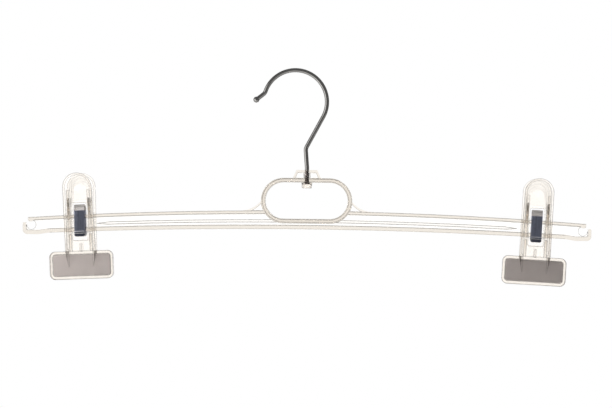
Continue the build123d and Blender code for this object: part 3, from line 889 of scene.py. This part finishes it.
def make_pad(pad, side, facing, material):
    """A rounded slab with grooves across the face that grips: flat rings carried up the clip.

    A groove takes depth * sqrt(1 - u²) off the thickness, u half widths from its middle.
    """
    way = FACINGS[facing]
    axes = clip_axes(side)
    _, along_bar, _ = axes
    half = pad.height / 2
    rounding = corner_places(pad.corner)
    even = np.arange(-half + pad.corner, half - pad.corner, PAD_STEP)
    places = np.concatenate([-half + rounding, even[1:], (half - rounding)[::-1]])
    to_end = half - np.abs(places)
    width = pad.width - 2 * end_rounding(to_end, pad.corner)
    pitch = pad.height / (pad.grooves + 1)
    row = (places + half) / pitch
    nearest = np.round(row)
    away = np.abs(row - nearest) * pitch / (pad.groove_width / 2)
    grooved = (nearest >= 1) & (nearest <= pad.grooves) & (away < 1)
    groove = np.where(grooved, pad.groove_depth * np.sqrt(1 - np.clip(away, 0, 1) ** 2), 0.0)
    thickness = pad.thickness - groove - 2 * end_rounding(to_end, pad.edge)
    least_flat = 0.01 * MM
    edge = np.minimum(pad.edge, thickness / 2 - least_flat)
    across, outwards = rounded_ring(width, thickness, edge, PAD_SIDES)
    middle = pad.outer_face - pad.thickness / 2 + groove / 2
    centres = clip_point(axes, way * middle, pad.middle_height + places)
    slab = carried(
        side + "_" + facing + "_grip_pad",
        centres,
        np.broadcast_to(along_bar, centres.shape),
        np.broadcast_to(OUT, centres.shape),
        across,
        outwards,
    )
    slab.data.materials.append(material)
    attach(slab, side + "_" + facing + "_jaw")
    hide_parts(side + "_" + facing + "_pad")


def dress_node(name, material):
    """Gives a moulded piece its material."""
    for slot in frame["nodes"][name].material_slots:
        slot.material = material


# Stage


def pale_floor(stage):
    """Matt pale floor that the camera sees fade to white towards its rim."""
    material, finish = new_finish("floor")
    flat = {0: object_place(finish), 1: (1.0, 1.0, 0.0)}
    place = finish.node("ShaderNodeVectorMath", {"operation": "MULTIPLY"}, flat)
    length = {"operation": "LENGTH"}
    distance = finish.node("ShaderNodeVectorMath", length, {0: place}, output="Value")
    faded = (distance / stage.floor_radius).above(0.45, soft=0.5)
    seen = finish.node("ShaderNodeLightPath", output="Is Camera Ray")
    surface = {"Base Color": stage.floor_colour, "Roughness": 0.8, "Specular IOR Level": 0.2}
    matt = finish.node("ShaderNodeBsdfPrincipled", {}, surface)
    light = {"Color": (1.0, 1.0, 1.0), "Strength": 1.0}
    white = finish.node("ShaderNodeEmission", {}, light)
    shown = finish.node("ShaderNodeMixShader", {}, {0: faded * seen, 1: matt, 2: white})
    finish.node("ShaderNodeOutputMaterial", {}, {"Surface": shown})
    return material


def make_floor(stage):
    """A disc: rings of points at radius r and angle t, at the floor's height."""
    radius = np.linspace(0.0, stage.floor_radius, FLOOR_RINGS + 1)[1:]
    angle = np.arange(FLOOR_SIDES) * 2 * pi / FLOOR_SIDES
    ring = np.stack([np.outer(radius, np.cos(angle)), np.outer(radius, np.sin(angle))], -1)
    points = np.concatenate([[[0.0, 0.0]], ring.reshape(-1, 2)])
    points = np.column_stack([points, np.full(len(points), stage.floor_height)])
    i, j = np.meshgrid(np.arange(FLOOR_RINGS - 1), np.arange(FLOOR_SIDES), indexing="ij")
    here, following = i * FLOOR_SIDES, (j + 1) % FLOOR_SIDES
    beyond = here + FLOOR_SIDES
    quads = 1 + np.stack([here + j, beyond + j, beyond + following, here + following], -1)
    fan = [[0, 1 + k, 1 + (k + 1) % FLOOR_SIDES] for k in range(FLOOR_SIDES)]
    mesh = bpy.data.meshes.new("floor")
    mesh.from_pydata(points.tolist(), [], fan + quads.reshape(-1, 4).tolist())
    mesh.materials.append(pale_floor(stage))
    floor = new_object("floor", mesh)


def make_softbox(stage):
    """A soft lamp on the left, which isn't seen itself."""
    light = bpy.data.lights.new("softbox", "AREA")
    light.shape = "RECTANGLE"
    light.size = stage.softbox_width
    light.size_y = stage.softbox_height
    light.energy = stage.softbox_power
    lamp = new_object("softbox", light)
    lamp.location = stage.softbox_place
    way = Vector((0.0, 0.0, stage.softbox_aim)) - Vector(stage.softbox_place)
    lamp.rotation_euler = way.to_track_quat("-Z", "Y").to_euler()
    lamp.visible_camera = False
    lamp.visible_glossy = False


def make_world(stage):
    """White to the camera and through plastic, plain light on matt surfaces, darker in mirrors.

    A ray in plastic loses a share at each reflection inside it, and their number is the ray's
    depth less its passes through a surface, less one.
    """
    world = bpy.data.worlds.new("studio")
    bpy.context.scene.world = world
    finish = Finish(world)
    camera, glossy, through, depth, passes, matt_depth = (
        finish.node("ShaderNodeLightPath", output=name)
        for name in (
            "Is Camera Ray", "Is Glossy Ray", "Is Transmission Ray", "Ray Depth",
            "Transmission Depth", "Diffuse Depth",
        )
    )
    mirrored = glossy * (1 - through)
    matt = (1 - camera) * (1 - glossy) * (1 - through)
    inside = stage.through_level * stage.inside_share ** (depth - passes - 1)
    direction = finish.node("ShaderNodeTexCoord", output="Generated")
    ahead, to_window = (finish.dot(direction, tuple(way)) for way in (OUT, stage.window_way))
    edge = cos(stage.backdrop_angle)
    backdrop = ahead.above(edge, soft=0.5 * (1 - edge))
    window = to_window.above(cos(stage.window_angle), soft=0.08)
    mirror = stage.mirror_level + (1 - stage.mirror_level) * backdrop + stage.window_level * window
    room = stage.front_level + (1 - stage.front_level) * ahead.above(-0.5, soft=1.0)
    from_matt = matt_depth.clamped()
    seen = through * (1 - from_matt) * inside * room
    lit = (matt + through * from_matt) * stage.room_level
    light = {"Color": (1.0, 1.0, 1.0), "Strength": camera + seen + mirrored * mirror + lit}
    background = finish.node("ShaderNodeBackground", {}, light)
    finish.node("ShaderNodeOutputWorld", {}, {"Surface": background})
    world.cycles.sampling_method = "NONE"


def make_camera(stage):
    """The camera, which looks at the hanger from the front."""
    data = bpy.data.cameras.new("camera")
    data.sensor_width = 36.0
    data.lens = stage.lens
    data.clip_start = 10 * MM
    camera = new_object("camera", data)
    place = (stage.camera_side, -stage.camera_distance, stage.camera_height)
    upright = Matrix.Rotation(pi / 2, 4, "X")
    turned = Matrix.Rotation(stage.camera_yaw, 4, "Z") @ upright
    rolled = Matrix.Rotation(stage.camera_roll, 4, "Z")
    camera.matrix_world = Matrix.Translation(place) @ turned @ rolled
    bpy.context.scene.camera = camera


# Light has to pass many walls of clear plastic
BOUNCES = {
    "max_bounces": 24,
    "transmission_bounces": 24,
    "glossy_bounces": 12,
    "transparent_max_bounces": 32,
}


# Operators


class HANGER_OT_bar(Operator):
    """Give the moulded bar its clear plastic"""

    bl_idname = "hanger.bar"
    bl_label = "Bar"

    def execute(self, context):
        dress_node("hanger_bar", bar_plastic(context.scene.hanger_plastic))
        return {"FINISHED"}


class HANGER_OT_jaws(Operator):
    """Give the four jaws their clear plastic"""

    bl_idname = "hanger.jaws"
    bl_label = "Jaws"

    def execute(self, context):
        for side in SIDES:
            material = jaw_plastic(context.scene.hanger_plastic, side)
            for facing in FACINGS:
                dress_node(side + "_" + facing + "_jaw", material)
        return {"FINISHED"}


class HANGER_OT_hook(Operator):
    """Bend the wire hook with its head and its ball"""

    bl_idname = "hanger.hook"
    bl_label = "Hook"

    def execute(self, context):
        make_hook(context.scene.hanger_wire)
        return {"FINISHED"}


class HANGER_OT_springs(Operator):
    """Bend the spring strips, each as two halves"""

    bl_idname = "hanger.springs"
    bl_label = "Springs"

    def execute(self, context):
        spring = context.scene.hanger_spring
        material = tempered_strip(spring)
        for side in SIDES:
            for facing in FACINGS:
                make_spring_half(spring, side, facing, material)
        return {"FINISHED"}


class HANGER_OT_pads(Operator):
    """Mould the four grip pads"""

    bl_idname = "hanger.pads"
    bl_label = "Grip pads"

    def execute(self, context):
        pad = context.scene.hanger_pad
        material = grey_rubber(pad)
        for side in SIDES:
            for facing in FACINGS:
                make_pad(pad, side, facing, material)
        return {"FINISHED"}


class HANGER_OT_stage(Operator):
    """Lay the floor, set the light and the white background, and place the camera"""

    bl_idname = "hanger.stage"
    bl_label = "Stage"

    def execute(self, context):
        scene = context.scene
        stage = scene.hanger_stage
        make_floor(stage)
        make_softbox(stage)
        make_world(stage)
        make_camera(stage)
        scene.view_settings.view_transform = "Standard"
        for name, count in BOUNCES.items():
            setattr(scene.cycles, name, count)
        return {"FINISHED"}


OPERATORS = (
    HANGER_OT_bar,
    HANGER_OT_jaws,
    HANGER_OT_hook,
    HANGER_OT_springs,
    HANGER_OT_pads,
    HANGER_OT_stage,
)


class HANGER_PT_pieces(Panel):
    """Lists the operators and the settings"""

    bl_label = "Trouser hanger"
    bl_idname = "HANGER_PT_pieces"
    bl_space_type = "VIEW_3D"
    bl_region_type = "UI"
    bl_category = "Hanger"

    def draw(self, context):
        for operator in OPERATORS:
            self.layout.operator(operator.bl_idname)
        for name, group in SETTINGS.items():
            box = self.layout.box()
            box.label(text=group.__doc__)
            for prop in group.__annotations__:
                box.prop(getattr(context.scene, name), prop)


def register():
    for kind in (*SETTINGS.values(), *OPERATORS, HANGER_PT_pieces):
        bpy.utils.register_class(kind)
    for name, group in SETTINGS.items():
        setattr(bpy.types.Scene, name, PointerProperty(type=group))


def unregister():
    for name in SETTINGS:
        delattr(bpy.types.Scene, name)
    for kind in (HANGER_PT_pieces, *reversed(OPERATORS), *reversed(SETTINGS.values())):
        bpy.utils.unregister_class(kind)


def main():
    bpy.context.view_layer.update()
    register()
    bpy.ops.hanger.bar()
    bpy.ops.hanger.jaws()
    bpy.ops.hanger.hook()
    bpy.ops.hanger.springs()
    bpy.ops.hanger.pads()
    bpy.ops.hanger.stage()


if __name__ == "__main__":
    main()
